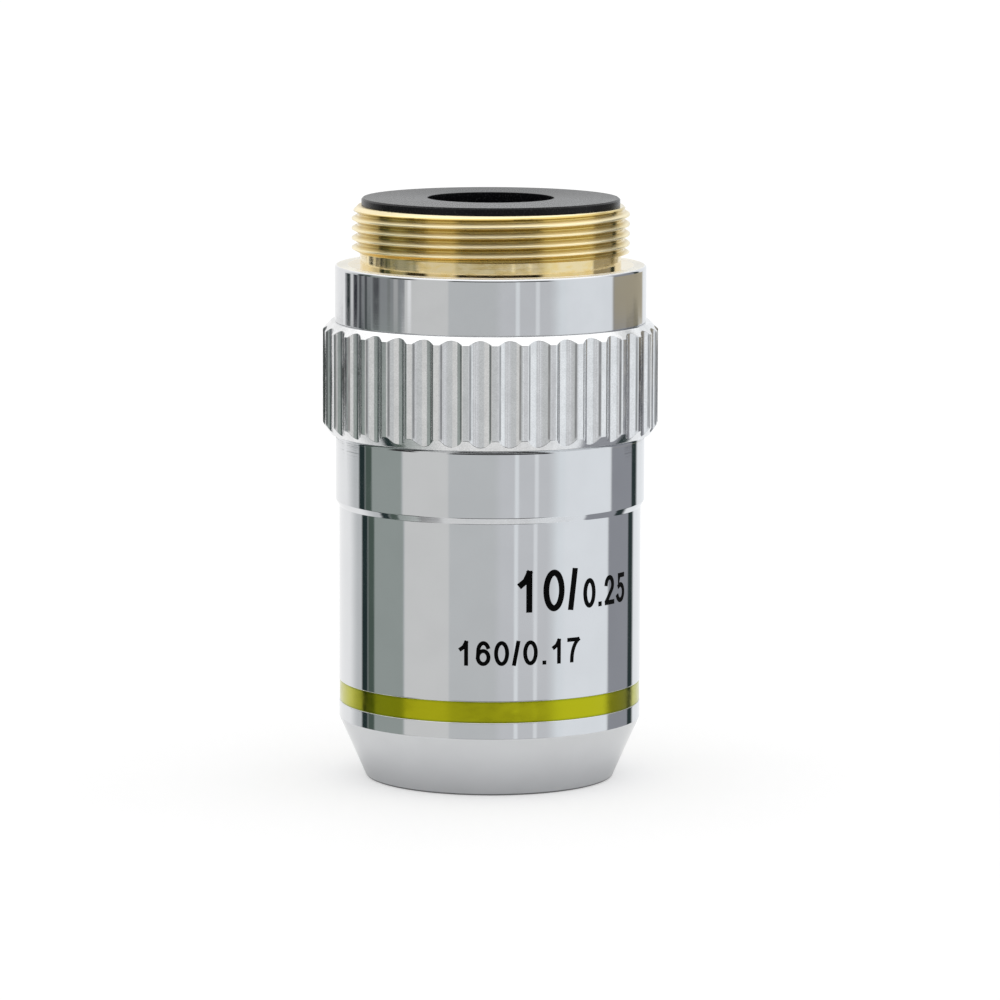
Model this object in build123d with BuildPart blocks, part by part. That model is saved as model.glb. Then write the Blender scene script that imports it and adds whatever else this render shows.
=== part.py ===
from build123d import *
import os
from math import copysign, sqrt

os.makedirs("parts", exist_ok=True)

# A finite-tube microscope objective of low power, standing on its nose. Lengths are millimetres.
# +Z runs along the optical axis from the nose to the thread. The origin is the centre of the
# nose's flat front face. Every piece is turned round that axis.

# Lens train. Radii add up from the lenses outward: cell, lens barrel, body, then the sleeve,
# whose long tube comes to 22.0 mm across.
lens_radius = 5.35
cell_wall = 1.55
barrel_wall = 1.05
body_wall = 2.15
upper_tube_wall = 1.07

# Outer sleeve, from the nose up
tube_height = 19.97
tube_wall = 1.1
cone_height = 4.43
cone_inset = 1.97
nose_land = 2.73
nose_wall = 1.3
nose_edge_radius = 0.25
step_width = 0.25
step_height = 0.45
upper_tube_height = 4.88
sleeve_edge_chamfer = 0.12

# Colour band, an enamel ring in a shallow groove above the cone
band_gap = 1.19
band_height = 1.52
band_depth = 0.15
band_recess = 0.03

# Grip ring with milled flutes, clamped between the sleeve and the collar
grip_rise = 0.95
grip_height = 8.14
flute_count = 36
flute_depth = 0.33
flute_cutter_radius = 0.9
flute_edge_radius = 0.12
first_flute_angle = 6.8
grip_top_chamfer = 0.58
grip_bottom_chamfer_width = 0.5
grip_bottom_chamfer_height = 0.75

# Mount body: collar, shoulder and the standard thread of 20.2 mm on 36 turns to the inch,
# whose fine helix is shown here by its crest cylinder
collar_rise = 0.08
collar_height = 4.09
collar_edge_radius = 0.2
thread_radius = 10.1
thread_height = 4.3
thread_lead_in = 0.45
thread_wall = 1.3
relief_depth = 0.6
relief_height = 0.95
screw_length = 4.2
screw_runout = 0.7
screw_lead_in = 0.3
spigot_step = 0.2
spigot_gap = 0.1

# Stop ring, screwed into the top of the body
stop_ring_inset = 0.26
stop_ring_proud = 0.57
stop_ring_chamfer = 0.12
stop_hole_radius = 4.6
stop_hole_lip = 0.4
stop_plate = 1.3
stop_bevel = 0.4
stop_skirt_wall = 1.1
stop_skirt_length = 2.4

# Lens barrel, its shim and its lock ring
barrel_gap = 0.8
barrel_nose_gap = 0.1
barrel_nose_wall = 0.8
barrel_cone_gap = 1.0
barrel_ledge_width = 0.8
barrel_ledge_height = 1.2
barrel_lip = 0.8
front_recess = 0.5
shim_thickness = 0.4
lock_ring_height = 2.0
lock_ring_wall = 1.4
lock_ring_clearance = 1.0

# Front cell with its thick meniscus
front_cell_wall = 1.15
front_seat_width = 0.7
front_seat_height = 0.55
front_seat_bevel = 0.4
front_lens_hollow_radius = 10.0
front_lens_back_radius = 7.5
front_lens_edge = 3.2
front_ring_height = 1.2
front_ring_wall = 0.45

# Stack of cells: each lens sits on a seat and is held by a thin lip rolled over its flat bevel
seat_width = 0.45
seat_height = 0.8
lip_width = 0.35
lip_height = 0.3
vertex_clearance = 0.5
spacer_wall = 1.0
first_spacer_height = 1.6
second_spacer_height = 2.0

# Curved surfaces and thicknesses of the lenses in the stack
first_flint_thickness = 1.3
first_cement_radius = 9.0
first_crown_edge = 1.3
first_crown_back_radius = 12.0
second_flint_thickness = 1.3
second_cement_radius = 10.0
second_crown_edge = 1.28
second_crown_back_radius = 14.0
rear_lens_hollow_radius = 16.0
rear_lens_edge = 1.93
rear_lens_back_radius = 11.0

# Aperture stop and the slotted ring on top of the stack
aperture_thickness = 0.5
aperture_radius = 4.3
aperture_bevel = 0.25
stack_ring_height = 2.0
stack_ring_wall = 1.6

# Spanner slots of the slotted rings
slot_width = 1.0
slot_depth = 0.8

# Fits: a sliding fit between plain cylinders, and the play of the screwed pairs
slide_fit = 0.02
screw_fit = 0.03

# Radii worked out from the sizes above, from the lenses outward
lens_clear = lens_radius - lip_width
cell_radius = lens_radius + cell_wall
barrel_bore = cell_radius + slide_fit
barrel_screw_radius = barrel_bore + barrel_wall
body_bore = barrel_screw_radius + screw_fit
body_screw_radius = body_bore + body_wall
spigot_radius = body_screw_radius + spigot_step
sleeve_screw_bore = body_screw_radius + screw_fit
sleeve_radius = sleeve_screw_bore + upper_tube_wall
tube_radius = sleeve_radius - step_width
tube_bore = tube_radius - tube_wall
groove_radius = tube_radius - band_depth
nose_radius = tube_radius - cone_inset
nose_opening_radius = nose_radius - nose_land
grip_bore = spigot_radius + slide_fit
grip_radius = sleeve_radius + grip_rise
collar_radius = sleeve_radius + collar_rise
relief_radius = thread_radius - relief_depth
thread_bore = relief_radius - thread_wall
lead_in_radius = thread_radius - thread_lead_in
stop_ring_radius = lead_in_radius - stop_ring_inset
stop_screw_radius = thread_bore - screw_fit
barrel_flange_radius = tube_bore - barrel_gap
barrel_nose_radius = nose_opening_radius - barrel_nose_gap
front_cell_bore = barrel_nose_radius - barrel_nose_wall
front_cell_radius = front_cell_bore - screw_fit
front_lens_radius = front_cell_radius - front_cell_wall
front_lens_clear = front_lens_radius - front_seat_width

# Heights worked out from the sizes above, from the nose up
band_bottom = cone_height + band_gap
band_top = band_bottom + band_height
sleeve_top = tube_height + step_height + upper_tube_height
grip_top = sleeve_top + grip_height
shoulder = grip_top + collar_height
thread_top = shoulder + thread_height
stop_top = thread_top + stop_ring_proud
body_bottom = sleeve_top - screw_length
sleeve_screw_bottom = body_bottom - screw_runout
flange_top = body_bottom - shim_thickness
inner_cone_top = nose_wall + tube_bore - nose_opening_radius
barrel_cone_bottom = nose_wall + barrel_cone_gap
barrel_cone_top = barrel_cone_bottom + barrel_flange_radius - barrel_nose_radius
collar_edge_limit = (collar_radius - relief_radius) / 2


def sag(radius, reach):
    # Depth of a sphere's cap at a distance from its axis, negative for a negative radius
    return radius - copysign(sqrt(radius ** 2 - reach ** 2), radius)


def polished_arc(vertex, radius, reach):
    # Section of a polished surface from its vertex on the axis out to its reach
    middle = reach / 2
    return ThreePointArc(
        (0, vertex),
        (middle, vertex + sag(radius, middle)),
        (reach, vertex + sag(radius, reach)),
    )


def corner(profile, across, height):
    # Corner of a section nearest to a point
    return profile.vertices().sort_by_distance((across, height))[0]


def turned_ring(outer, inner, bottom, height):
    # Plain ring on the optical axis
    with BuildPart() as ring:
        with BuildSketch(Plane.XY.offset(bottom)):
            Circle(outer)
            Circle(inner, mode=Mode.SUBTRACT)
        extrude(amount=height)
    return ring.part


def slotted_ring(outer, inner, bottom, height):
    # Screwed ring with two spanner slots across its upper face
    with BuildPart() as ring:
        add(turned_ring(outer, inner, bottom, height))
        with BuildSketch(Plane.XY.offset(bottom + height)):
            Rectangle(2 * outer + slot_width, slot_width)
        extrude(amount=-slot_depth, mode=Mode.SUBTRACT)
    return ring.part


# Front cell: the lens seats on its front flange, whose mouth is bevelled open towards the object
front_seat = front_recess + front_seat_height
front_lens_vertex = front_seat + sag(front_lens_hollow_radius, front_lens_clear)
front_bevel = front_seat + front_lens_edge
front_lens_back = front_bevel + sag(front_lens_back_radius, front_lens_clear)
front_cell_top = front_lens_back + vertex_clearance
with BuildPart() as front_cell:
    with BuildSketch(Plane.XZ):
        with BuildLine():
            Polyline(
                (front_lens_clear + front_seat_bevel, front_recess),
                (front_cell_radius, front_recess),
                (front_cell_radius, front_cell_top),
                (front_lens_radius + slide_fit, front_cell_top),
                (front_lens_radius + slide_fit, front_seat),
                (front_lens_clear, front_seat),
                close=True,
            )
        make_face()
    revolve(axis=Axis.Z)
front_cell.part.label = "front_cell"
export_step(front_cell.part, "parts/front_cell.step")

# Front lens: a thick meniscus, hollow towards the object, with a flat bevel at each edge
with BuildPart() as front_lens:
    with BuildSketch(Plane.XZ):
        with BuildLine():
            hollow = polished_arc(front_lens_vertex, -front_lens_hollow_radius, front_lens_clear)
            back = polished_arc(front_lens_back, -front_lens_back_radius, front_lens_clear)
            Polyline(
                hollow @ 1,
                (front_lens_radius, front_seat),
                (front_lens_radius, front_bevel),
                back @ 1,
            )
            Line(hollow @ 0, back @ 0)
        make_face()
    revolve(axis=Axis.Z)
front_lens.part.label = "front_lens"
export_step(front_lens.part, "parts/front_lens.step")

# Front lens ring, screwed into the cell against the back bevel of the lens
with BuildPart() as front_lens_ring:
    add(slotted_ring(
        front_lens_radius,
        front_lens_radius - front_ring_wall,
        front_bevel,
        front_ring_height,
    ))
front_lens_ring.part.label = "front_lens_ring"
export_step(front_lens_ring.part, "parts/front_lens_ring.step")

# Each cemented doublet has a cell, a flat-bottomed flint and a crown that fills the flint's hollow.
# Its sizes are listed as flint thickness, cemented radius, crown edge, back radius and the spacer.
ledge_bottom = front_cell_top
stack_bottom = ledge_bottom + barrel_ledge_height
doublets = {
    "first": (
        first_flint_thickness,
        first_cement_radius,
        first_crown_edge,
        first_crown_back_radius,
        first_spacer_height,
    ),
    "second": (
        second_flint_thickness,
        second_cement_radius,
        second_crown_edge,
        second_crown_back_radius,
        second_spacer_height,
    ),
}
stack_top = stack_bottom
for place, sizes in doublets.items():
    flint_thickness, cement_radius, crown_edge, back_radius, spacer_height = sizes
    flint_bottom = stack_top + seat_height
    cement_vertex = flint_bottom + flint_thickness
    crown_bevel = cement_vertex + sag(cement_radius, lens_radius) + crown_edge
    crown_back = crown_bevel + sag(back_radius, lens_clear)
    cell_top = crown_back + vertex_clearance
    with BuildPart() as cell:
        with BuildSketch(Plane.XZ):
            with BuildLine():
                Polyline(
                    (lens_radius - seat_width, stack_top),
                    (cell_radius, stack_top),
                    (cell_radius, cell_top),
                    (lens_radius, cell_top),
                    (lens_radius, crown_bevel + lip_height),
                    (lens_clear, crown_bevel + lip_height),
                    (lens_clear, crown_bevel),
                    (lens_radius, crown_bevel),
                    (lens_radius, flint_bottom),
                    (lens_radius - seat_width, flint_bottom),
                    close=True,
                )
            make_face()
        revolve(axis=Axis.Z)
    cell.part.label = place + "_cell"
    export_step(cell.part, "parts/" + place + "_cell.step")
    with BuildPart() as flint:
        with BuildSketch(Plane.XZ):
            with BuildLine():
                cement = polished_arc(cement_vertex, cement_radius, lens_radius)
                Polyline(cement @ 0, (0, flint_bottom), (lens_radius, flint_bottom), cement @ 1)
            make_face()
        revolve(axis=Axis.Z)
    flint.part.label = place + "_flint"
    export_step(flint.part, "parts/" + place + "_flint.step")
    with BuildPart() as crown:
        with BuildSketch(Plane.XZ):
            with BuildLine():
                cement = polished_arc(cement_vertex, cement_radius, lens_radius)
                back = polished_arc(crown_back, -back_radius, lens_clear)
                Polyline(cement @ 1, (lens_radius, crown_bevel), back @ 1)
                Line(cement @ 0, back @ 0)
            make_face()
        revolve(axis=Axis.Z)
    crown.part.label = place + "_crown"
    export_step(crown.part, "parts/" + place + "_crown.step")
    with BuildPart() as spacer:
        add(turned_ring(cell_radius, cell_radius - spacer_wall, cell_top, spacer_height))
    spacer.part.label = place + "_spacer"
    export_step(spacer.part, "parts/" + place + "_spacer.step")
    stack_top = cell_top + spacer_height

# Rear cell and its meniscus, hollow side down
rear_seat = stack_top + seat_height
rear_lens_vertex = rear_seat + sag(rear_lens_hollow_radius, lens_clear)
rear_bevel = rear_seat + rear_lens_edge
rear_lens_back = rear_bevel + sag(rear_lens_back_radius, lens_clear)
rear_cell_top = rear_lens_back + vertex_clearance
with BuildPart() as rear_cell:
    with BuildSketch(Plane.XZ):
        with BuildLine():
            Polyline(
                (lens_radius - seat_width, stack_top),
                (cell_radius, stack_top),
                (cell_radius, rear_cell_top),
                (lens_radius, rear_cell_top),
                (lens_radius, rear_bevel + lip_height),
                (lens_clear, rear_bevel + lip_height),
                (lens_clear, rear_bevel),
                (lens_radius, rear_bevel),
                (lens_radius, rear_seat),
                (lens_radius - seat_width, rear_seat),
                close=True,
            )
        make_face()
    revolve(axis=Axis.Z)
rear_cell.part.label = "rear_cell"
export_step(rear_cell.part, "parts/rear_cell.step")

with BuildPart() as rear_lens:
    with BuildSketch(Plane.XZ):
        with BuildLine():
            hollow = polished_arc(rear_lens_vertex, -rear_lens_hollow_radius, lens_clear)
            back = polished_arc(rear_lens_back, -rear_lens_back_radius, lens_clear)
            Polyline(hollow @ 1, (lens_radius, rear_seat), (lens_radius, rear_bevel), back @ 1)
            Line(hollow @ 0, back @ 0)
        make_face()
    revolve(axis=Axis.Z)
rear_lens.part.label = "rear_lens"
export_step(rear_lens.part, "parts/rear_lens.step")

# Aperture stop: a thin disc whose hole is bevelled to a sharp edge
stack_ring_bottom = rear_cell_top + aperture_thickness
with BuildPart() as aperture_stop:
    with BuildSketch(Plane.XZ):
        with BuildLine():
            Polyline(
                (aperture_radius, rear_cell_top),
                (cell_radius, rear_cell_top),
                (cell_radius, stack_ring_bottom),
                (aperture_radius + aperture_bevel, stack_ring_bottom),
                close=True,
            )
        make_face()
    revolve(axis=Axis.Z)
aperture_stop.part.label = "aperture_stop"
export_step(aperture_stop.part, "parts/aperture_stop.step")

# Stack ring, screwed down on the aperture stop and the whole lens stack
with BuildPart() as stack_ring:
    add(slotted_ring(
        cell_radius,
        cell_radius - stack_ring_wall,
        stack_ring_bottom,
        stack_ring_height,
    ))
stack_ring.part.label = "stack_ring"
export_step(stack_ring.part, "parts/stack_ring.step")

# Lens barrel: its flange hangs under the body, its nose reaches into the sleeve's opening and
# its inner ledge parts the front cell from the stack
barrel_top = stack_ring_bottom + stack_ring_height + barrel_lip
with BuildPart() as lens_barrel:
    with BuildSketch(Plane.XZ):
        with BuildLine():
            Polyline(
                (front_cell_bore, front_recess),
                (barrel_nose_radius, front_recess),
                (barrel_nose_radius, barrel_cone_bottom),
                (barrel_flange_radius, barrel_cone_top),
                (barrel_flange_radius, flange_top),
                (barrel_screw_radius, flange_top),
                (barrel_screw_radius, barrel_top),
                (barrel_bore, barrel_top),
                (barrel_bore, stack_bottom),
                (front_cell_bore - barrel_ledge_width, stack_bottom),
                (front_cell_bore - barrel_ledge_width, ledge_bottom),
                (front_cell_bore, ledge_bottom),
                close=True,
            )
        make_face()
    revolve(axis=Axis.Z)
lens_barrel.part.label = "lens_barrel"
export_step(lens_barrel.part, "parts/lens_barrel.step")

# Parfocal shim between the barrel's flange and the end of the body
with BuildPart() as parfocal_shim:
    add(turned_ring(barrel_flange_radius, body_bore, flange_top, shim_thickness))
parfocal_shim.part.label = "parfocal_shim"
export_step(parfocal_shim.part, "parts/parfocal_shim.step")

# Lock ring, screwed down on the end of the lens barrel inside the body
with BuildPart() as barrel_lock_ring:
    add(slotted_ring(
        barrel_screw_radius,
        barrel_screw_radius - lock_ring_wall,
        barrel_top,
        lock_ring_height,
    ))
barrel_lock_ring.part.label = "barrel_lock_ring"
export_step(barrel_lock_ring.part, "parts/barrel_lock_ring.step")

# Mount body: one brass turning from the inner screw up to the standard thread, with a bore that
# widens above the lock ring
neck_bottom = barrel_top + lock_ring_height + lock_ring_clearance
with BuildPart() as mount_body:
    with BuildSketch(Plane.XZ) as body_section:
        with BuildLine():
            Polyline(
                (body_bore, body_bottom),
                (body_screw_radius - screw_lead_in, body_bottom),
                (body_screw_radius, body_bottom + screw_lead_in),
                (body_screw_radius, sleeve_top + spigot_gap),
                (spigot_radius, sleeve_top + spigot_gap),
                (spigot_radius, grip_top),
                (collar_radius, grip_top),
                (collar_radius, shoulder),
                (relief_radius, shoulder),
                (relief_radius, shoulder + relief_height),
                (thread_radius, shoulder + relief_height),
                (thread_radius, thread_top - thread_lead_in),
                (lead_in_radius, thread_top),
                (thread_bore, thread_top),
                (thread_bore, neck_bottom),
                (body_bore, neck_bottom),
                close=True,
            )
        make_face()
        collar_edge = corner(body_section, collar_radius, shoulder)
        fillet(collar_edge, min(collar_edge_radius, collar_edge_limit))
    revolve(axis=Axis.Z)
mount_body.part.label = "mount_body"
export_step(mount_body.part, "parts/mount_body.step")

# Stop ring: a flat plate with the light hole, bevelled away below its thin lip, and a screwed skirt
with BuildPart() as stop_ring:
    with BuildSketch(Plane.XZ):
        with BuildLine():
            Polyline(
                (stop_hole_radius, stop_top),
                (stop_ring_radius - stop_ring_chamfer, stop_top),
                (stop_ring_radius, stop_top - stop_ring_chamfer),
                (stop_ring_radius, thread_top),
                (stop_screw_radius, thread_top),
                (stop_screw_radius, thread_top - stop_skirt_length),
                (stop_screw_radius - stop_skirt_wall, thread_top - stop_skirt_length),
                (stop_screw_radius - stop_skirt_wall, stop_top - stop_plate),
                (stop_hole_radius + stop_bevel, stop_top - stop_plate),
                (stop_hole_radius, stop_top - stop_hole_lip),
                close=True,
            )
        make_face()
    revolve(axis=Axis.Z)
stop_ring.part.label = "stop_ring"
export_step(stop_ring.part, "parts/stop_ring.step")

# Grip ring: the fluted bar is cut to length by a turned section, so its chamfers are true cones
# that the flutes run out into. The section reaches past the bar, and its cones with it.
cutting_radius = grip_radius + grip_rise
bottom_slope = grip_bottom_chamfer_height / grip_bottom_chamfer_width
bottom_chamfer_end = sleeve_top + grip_bottom_chamfer_height + bottom_slope * grip_rise
top_chamfer_end = grip_top - grip_top_chamfer - grip_rise
with BuildPart() as grip_ring:
    with BuildSketch(Plane.XY.offset(sleeve_top).rotated((0, 0, first_flute_angle))) as flutes:
        Circle(grip_radius)
        with PolarLocations(grip_radius - flute_depth + flute_cutter_radius, flute_count):
            Circle(flute_cutter_radius, mode=Mode.SUBTRACT)
        fillet(flutes.vertices(), flute_edge_radius)
        Circle(grip_bore, mode=Mode.SUBTRACT)
    extrude(amount=grip_height)
    with BuildSketch(Plane.XZ):
        with BuildLine():
            Polyline(
                (0, sleeve_top),
                (grip_radius - grip_bottom_chamfer_width, sleeve_top),
                (cutting_radius, bottom_chamfer_end),
                (cutting_radius, top_chamfer_end),
                (grip_radius - grip_top_chamfer, grip_top),
                (0, grip_top),
                close=True,
            )
        make_face()
    revolve(axis=Axis.Z, mode=Mode.INTERSECT)
grip_ring.part.label = "grip_ring"
export_step(grip_ring.part, "parts/grip_ring.step")

# Outer sleeve: cone, long tube, bevelled step and short upper tube, with an even wall inside
with BuildPart() as outer_sleeve:
    with BuildSketch(Plane.XZ) as sleeve_section:
        with BuildLine():
            Polyline(
                (nose_opening_radius, 0),
                (nose_radius, 0),
                (tube_radius, cone_height),
                (tube_radius, band_bottom),
                (groove_radius, band_bottom),
                (groove_radius, band_top),
                (tube_radius, band_top),
                (tube_radius, tube_height),
                (sleeve_radius, tube_height + step_height),
                (sleeve_radius, sleeve_top),
                (sleeve_screw_bore, sleeve_top),
                (sleeve_screw_bore, sleeve_screw_bottom),
                (tube_bore, sleeve_screw_bottom),
                (tube_bore, inner_cone_top),
                (nose_opening_radius, nose_wall),
                close=True,
            )
        make_face()
        fillet(corner(sleeve_section, nose_radius, 0), nose_edge_radius)
        chamfer(corner(sleeve_section, sleeve_radius, sleeve_top), sleeve_edge_chamfer)
    revolve(axis=Axis.Z)
outer_sleeve.part.label = "outer_sleeve"
export_step(outer_sleeve.part, "parts/outer_sleeve.step")

# Colour band, a thin enamel ring that fills its groove almost flush
with BuildPart() as colour_band:
    add(turned_ring(tube_radius - band_recess, groove_radius, band_bottom, band_height))
colour_band.part.label = "colour_band"
export_step(colour_band.part, "parts/colour_band.step")
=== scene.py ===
# A microscope objective standing on its nose: plated sleeve, milled grip ring and cut brass thread
from math import cos, pi, radians, sin, sqrt, tan
import bmesh
import bpy
import numpy as np
from mathutils import Matrix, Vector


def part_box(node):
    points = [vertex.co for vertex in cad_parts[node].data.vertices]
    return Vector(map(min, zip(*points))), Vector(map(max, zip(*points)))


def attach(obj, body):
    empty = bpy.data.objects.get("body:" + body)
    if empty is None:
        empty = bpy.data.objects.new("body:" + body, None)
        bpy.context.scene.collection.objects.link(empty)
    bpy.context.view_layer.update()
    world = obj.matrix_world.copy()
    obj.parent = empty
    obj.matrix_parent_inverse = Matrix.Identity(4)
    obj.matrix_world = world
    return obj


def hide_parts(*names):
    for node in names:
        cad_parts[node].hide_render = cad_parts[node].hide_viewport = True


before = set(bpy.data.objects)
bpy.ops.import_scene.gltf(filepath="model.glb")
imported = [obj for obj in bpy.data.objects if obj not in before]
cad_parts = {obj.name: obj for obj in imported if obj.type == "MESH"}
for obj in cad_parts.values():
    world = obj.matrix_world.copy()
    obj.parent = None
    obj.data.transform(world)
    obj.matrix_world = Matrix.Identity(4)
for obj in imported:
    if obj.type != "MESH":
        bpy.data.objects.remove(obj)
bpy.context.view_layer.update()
print("frame loaded:", len(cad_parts), "nodes")

mm = 0.001      # shapes are worked out in millimetres and written in metres
white = (1.0, 1.0, 1.0)


# shapes

def roundedCorner(before, here, after, radius, steps=5, margin=0.03):
    # tangent points lie radius / tan(half the corner) along both sides; the arc swings from one to
    # the other about a centre on the bisector, and a support point follows on each side
    before, here, after = (np.array(p[:2], float) for p in (before, here, after))
    back = (before - here) / np.linalg.norm(before - here)
    ahead = (after - here) / np.linalg.norm(after - here)
    half = np.arccos(back @ ahead) / 2
    centre = here + (back + ahead) / np.linalg.norm(back + ahead) * radius / sin(half)
    reach = radius / tan(half)
    first, last = here + back * reach - centre, here + ahead * reach - centre
    swing = pi - 2 * half
    t = np.linspace(0, 1, steps + 1)[:, None]
    curve = centre + (np.sin((1 - t) * swing) * first + np.sin(t * swing) * last) / sin(swing)
    return np.vstack([here + back * (reach + margin), curve, here + ahead * (reach + margin)])


def section(corners):
    # a closed section as rows of radius and height, from corners of radius, height, edge radius
    rows = []
    for place, here in enumerate(corners):
        if len(here) == 2:
            rows.append(np.array([here], float))
        else:
            after = corners[(place + 1) % len(corners)]
            rows.append(roundedCorner(corners[place - 1], here, after, here[2]))
    return np.vstack(rows)


columns = {"round": 360, "inner": 240, "lens": 180}     # steps once round the axis


def spin(profile, count=columns["round"]):
    # every point of the section goes round the axis: x = r cos a, y = r sin a
    turn = np.linspace(0, 2 * pi, count, endpoint=False)
    radius, height = profile[:, :1], profile[:, 1:]
    return np.stack([radius * np.cos(turn), radius * np.sin(turn), height + 0 * turn], 2)


def arc(vertex, radius, reach, steps=14):
    # section of a ball's cap: z = vertex + R - sqrt(R^2 - r^2), with a negative R for a cap that falls
    across = np.linspace(0, reach, steps)
    depth = abs(radius) - np.sqrt(radius ** 2 - across ** 2)
    return np.stack([across, vertex + np.sign(radius) * depth], 1)


def gridFaces(rows, across, closeRows, closeColumns):
    # one quad for each cell, with the last row or column joined to the first where it closes
    index = np.arange(rows * across).reshape(rows, across)
    if closeRows:
        index = np.vstack([index, index[:1]])
    if closeColumns:
        index = np.hstack([index, index[:, :1]])
    cells = [index[:-1, :-1], index[:-1, 1:], index[1:, 1:], index[1:, :-1]]
    return np.stack(cells, 2).reshape(-1, 4)


def enclosedVolume(mesh):
    # sum over the triangles of a . (b x c) / 6
    mesh.calc_loop_triangles()
    corners = np.empty(len(mesh.loop_triangles) * 3, np.int32)
    mesh.loop_triangles.foreach_get("vertices", corners)
    points = np.empty(len(mesh.vertices) * 3, np.float32)
    mesh.vertices.foreach_get("co", points)
    a, b, c = points.reshape(-1, 3)[corners.reshape(-1, 3)].transpose(1, 0, 2).astype(float)
    return (a * np.cross(b, c)).sum() / 6


def solidMesh(name, grid, closeRows=True, closeColumns=True, weld=False, within=1e-7, crease=35):
    # the grid's points and quads; welding closes seams and poles, a negative volume turns the
    # faces outwards, and edges steeper than the crease stay sharp
    points = grid.reshape(-1, 3) * mm
    faces = gridFaces(*grid.shape[:2], closeRows, closeColumns)
    mesh = bpy.data.meshes.new(name)
    mesh.from_pydata(points.tolist(), [], faces.tolist())
    if weld:
        work = bmesh.new()
        work.from_mesh(mesh)
        bmesh.ops.remove_doubles(work, verts=work.verts, dist=within)
        work.to_mesh(mesh)
        work.free()
    mesh.update()
    if enclosedVolume(mesh) < 0:
        mesh.flip_normals()
    mesh.shade_smooth()
    mesh.set_sharp_from_angle(angle=radians(crease))
    return mesh


def addPiece(name, mesh, finishName, slot, *nodes):
    # a finished piece on the one body, standing for the nodes that it replaces
    piece = bpy.data.objects.new(name, mesh)
    bpy.context.scene.collection.objects.link(piece)
    mesh.materials.append(finish(finishName))
    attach(piece, "root")
    if nodes:
        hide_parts(*nodes)
    print(name, len(mesh.polygons), "faces")
    return piece


def nodeSize(name):
    # outer radius, lower end and upper end of a node, in millimetres
    low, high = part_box(name)
    return high.x / mm, low.z / mm, high.z / mm


# shader maths

class Socket:
    # wraps one output socket, so that maths on it adds Math nodes

    def __init__(self, tree, socket=None):
        self.tree, self.socket = tree, socket

    def add(self, kind, settings=None, values=None, output=0):
        # any node: its settings are set first, then each input gets a value or a link
        made = self.tree.nodes.new(kind)
        for name, value in (settings or {}).items():
            setattr(made, name, value)
        for name, value in (values or {}).items():
            if isinstance(value, Socket):
                self.tree.links.new(value.socket, made.inputs[name])
            else:
                made.inputs[name].default_value = value
        return Socket(self.tree, made.outputs[output] if made.outputs else None)

    def parts(self):
        # every output of the node behind this socket
        return [Socket(self.tree, output) for output in self.socket.node.outputs]

    def math(self, operation, *values):
        return self.add("ShaderNodeMath", {"operation": operation}, dict(enumerate(values)))

    def __add__(self, other):
        return self.math("ADD", self, other)

    def __radd__(self, other):
        return self.math("ADD", other, self)

    def __sub__(self, other):
        return self.math("SUBTRACT", self, other)

    def __rsub__(self, other):
        return self.math("SUBTRACT", other, self)

    def __mul__(self, other):
        return self.math("MULTIPLY", self, other)

    def __rmul__(self, other):
        return self.math("MULTIPLY", other, self)

    def __truediv__(self, other):
        return self.math("DIVIDE", self, other)

    def __rtruediv__(self, other):
        return self.math("DIVIDE", other, self)

    def __pow__(self, other):
        return self.math("POWER", self, other)

    def __neg__(self):
        return self.math("MULTIPLY", self, -1)

    def rise(self, low, high, lowValue=0.0, highValue=1.0):
        # eases from one value to the other between two places, and holds them outside
        values = {0: self, 1: low, 2: high, 3: lowValue, 4: highValue}
        return self.add("ShaderNodeMapRange", {"interpolation_type": "SMOOTHSTEP"}, values)

    def band(self, low, high, soft):
        # 1 between two places, with soft shoulders
        return self.rise(low - soft, low + soft) * self.rise(high - soft, high + soft, 1.0, 0.0)

    def blend(self, first, second):
        # this socket is the share of the second colour
        return self.add("ShaderNodeMix", {"data_type": "RGBA"}, {0: self, 6: first, 7: second}, 2)


def tone(colour, share=1.0):
    # a colour with its full alpha, darker or lighter by a share
    return (colour[0] * share, colour[1] * share, colour[2] * share, 1.0)


def places(start):
    # the point in millimetres: x, y, z and its distance from the axis
    point = start.add("ShaderNodeTexCoord", output="Object")
    x, y, z = (part * (1 / mm) for part in start.add("ShaderNodeSeparateXYZ", values={0: point}).parts())
    return x, y, z, (x * x + y * y) ** 0.5


def noise(start, x, y, z, detail=2.0, roughness=0.5):
    # noise at a point, finer the more each coordinate was multiplied by
    point = start.add("ShaderNodeCombineXYZ", values={0: x, 1: y, 2: z})
    values = {"Vector": point, "Scale": 1.0, "Detail": detail, "Roughness": roughness}
    return start.add("ShaderNodeTexNoise", {}, values)


def bump(start, height, depth):
    # a height from 0 to 1 over a depth in millimetres, turned into a normal
    values = {"Strength": 1.0, "Distance": depth * mm, "Height": height}
    return start.add("ShaderNodeBump", {}, values)


def cloudy(start, point, size, detail=4.0):
    # the same noise size along all three axes
    return noise(start, *(coordinate * size for coordinate in point), detail)


def emptyMaterial(name):
    material = bpy.data.materials.new(name)
    material.use_nodes = True
    material.node_tree.nodes.clear()
    return material, Socket(material.node_tree)


def finish(name):
    # a material, made once, from the function that gives the inputs of its Principled shader
    if name not in bpy.data.materials:
        material, start = emptyMaterial(name)
        shader = start.add("ShaderNodeBsdfPrincipled", values=finishes[name](start))
        start.add("ShaderNodeOutputMaterial", values={"Surface": shader})
    return bpy.data.materials[name]


# finishes: noise sizes are per millimetre, spreads are the noise values between which a finish changes

spread = (0.3, 0.7)

chrome = {
    "colour": (0.70, 0.71, 0.725),
    "shades": (0.97, 1.0),
    "roughness": (0.035, 0.075),    # clear plating, and where it is a little dull
    "dullSpread": (0.4, 0.75),
    "cloudSize": 0.35,
    "turnedSize": 6.0,
    "turnedDepth": 0.0012,          # depth of the marks that run round the axis, in mm
}


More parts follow.
